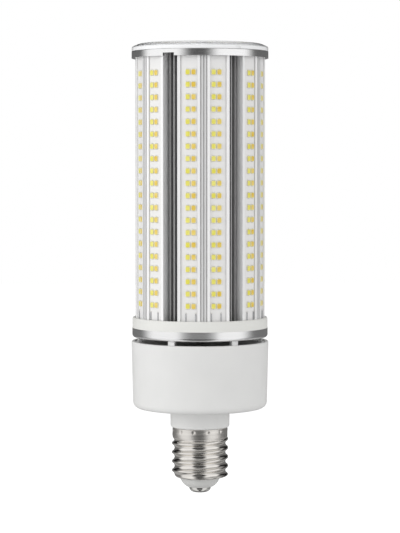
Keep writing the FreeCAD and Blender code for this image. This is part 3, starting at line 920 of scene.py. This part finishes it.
def make_floor():
    """Pale floor that looks white where it is lit and keeps the lamp's shadow."""
    half = floor_size / 2
    corners = [(-half, -half), (half, -half), (half, half), (-half, half)]
    mesh = bpy.data.meshes.new("studio_floor")
    mesh.from_pydata([(x, y, floor_level) for x, y in corners], [], [[0, 1, 2, 3]])
    material, tree, surface = empty_material("studio_floor")
    paper = tree.nodes.new("ShaderNodeBsdfDiffuse")
    paper.inputs["Color"].default_value = floor_color
    glow = tree.nodes.new("ShaderNodeEmission")
    strength = add_math(tree, "MULTIPLY", add_shown_rays(tree), floor_glow)
    total = tree.nodes.new("ShaderNodeAddShader")
    tree.links.new(strength, glow.inputs["Strength"])
    tree.links.new(paper.outputs["BSDF"], total.inputs[0])
    tree.links.new(glow.outputs["Emission"], total.inputs[1])
    tree.links.new(total.outputs["Shader"], surface)
    mesh.materials.append(material)
    floor = add_object("studio_floor", mesh)
    floor.visible_glossy = False


def make_world():
    """White surroundings, with a lower level as light on the lamp."""
    world = bpy.data.worlds.new("studio")
    world.use_nodes = True
    tree = world.node_tree
    background = tree.nodes["Background"]
    background.inputs["Color"].default_value = (1, 1, 1, 1)
    level = add_span(tree, add_shown_rays(tree), (0.0, 1.0), (world_light, 1.0))
    tree.links.new(level, background.inputs["Strength"])
    bpy.context.scene.world = world


def window(value, opening, closing):
    """One between two fades and zero outside them."""
    return eased(value, *opening) * (1 - eased(value, *closing))


def front_level(rise):
    """Brightness of the gap in front at a rise."""
    level = mixed(front_dark, front_band, eased(rise, *front_band_fade))
    level = mixed(level, tent_shade, eased(rise, *front_shade_fade))
    return mixed(level, front_ground, window(rise, front_ground_fade, front_ground_end_fade))


def rear_level(rise):
    """Brightness of the gap behind at a rise."""
    level = mixed(rear_dark, tent_shade, eased(rise, *rear_shade_fade))
    return mixed(level, rear_floor, window(rise, rear_floor_fade, rear_floor_end_fade))


def tent_level(turn, rise):
    """Brightness of the light tent at a turn from the front and a rise from the level of the aim."""
    front_turn = abs(math.remainder(turn - front_zero, full_turn))
    rear_turn = abs(math.remainder(turn - rear_zero, full_turn))
    low = eased(rise, *tent_low_fade)
    beside = mixed(eased(front_turn, *front_fade), eased(front_turn, *front_low_fade), low)
    behind = mixed(eased(rear_turn, *rear_fade), eased(rear_turn, *rear_low_fade), low)
    level = mixed(front_level(rise), mixed(tent_panel, tent_low_panel, low), beside)
    level = mixed(level, rear_level(rise), behind)
    return mixed(level, tent_top_level, eased(rise, *tent_top_fade))


def make_light_tent():
    """Tent round the studio that only reflections see; it draws the bands on the metal."""
    turns = turns_round(tent_columns)
    rings = []
    levels = []
    for row in range(tent_rows + 1):
        rise = math.pi * (row / tent_rows - 0.5)
        reach = tent_radius * math.cos(rise)
        height = aim_height + tent_radius * math.sin(rise)
        rings.append([from_front(reach, turn, height) for turn in turns])
        levels += [tent_level(turn, rise) for turn in turns]
    parts = MeshParts()
    parts.add_rings(rings)
    mesh = bpy.data.meshes.new("light_tent")
    mesh.from_pydata(parts.vertices, [], parts.faces)
    shade = mesh.attributes.new("shade", "FLOAT", "POINT")
    shade.data.foreach_set("value", levels)
    material, tree, surface = empty_material("light_tent")
    level = tree.nodes.new("ShaderNodeAttribute")
    level.attribute_name = "shade"
    cloth = tree.nodes.new("ShaderNodeEmission")
    tree.links.new(level.outputs["Fac"], cloth.inputs["Strength"])
    tree.links.new(cloth.outputs["Emission"], surface)
    mesh.materials.append(material)
    tent = add_object("light_tent", mesh)
    tent.visible_camera = False
    tent.visible_diffuse = False
    tent.visible_transmission = False
    tent.visible_shadow = False


def add_aimed(name, data, place):
    """A lamp or a camera that looks at the middle of the object from a place in the studio."""
    thing = add_object(name, data)
    thing.location = place
    aim = Vector((0, 0, aim_height)) - Vector(place)
    thing.rotation_euler = aim.to_track_quat("-Z", "Y").to_euler()
    return thing


def make_softbox(name, turn, power):
    """Large square lamp."""
    data = bpy.data.lights.new(name, "AREA")
    data.shape = "SQUARE"
    data.size = softbox_size
    data.energy = power
    softbox = add_aimed(name, data, from_front(softbox_distance, turn, softbox_height))
    softbox.visible_glossy = False


def make_camera():
    """Camera at the photograph's viewing angle."""
    data = bpy.data.cameras.new("camera")
    data.sensor_width = sensor_size
    data.lens = focal_pixels * sensor_size / image_height
    place = from_front(camera_distance, camera_turn, camera_height)
    bpy.context.scene.camera = add_aimed("camera", data, place)


def make_studio():
    """Floor, light and camera."""
    bpy.context.scene.view_settings.view_transform = "Standard"
    make_world()
    make_floor()
    make_light_tent()
    make_softbox("key_light", key_turn, key_power)
    make_softbox("fill_light", fill_turn, fill_power)
    make_camera()


dress_lamp()
make_studio()
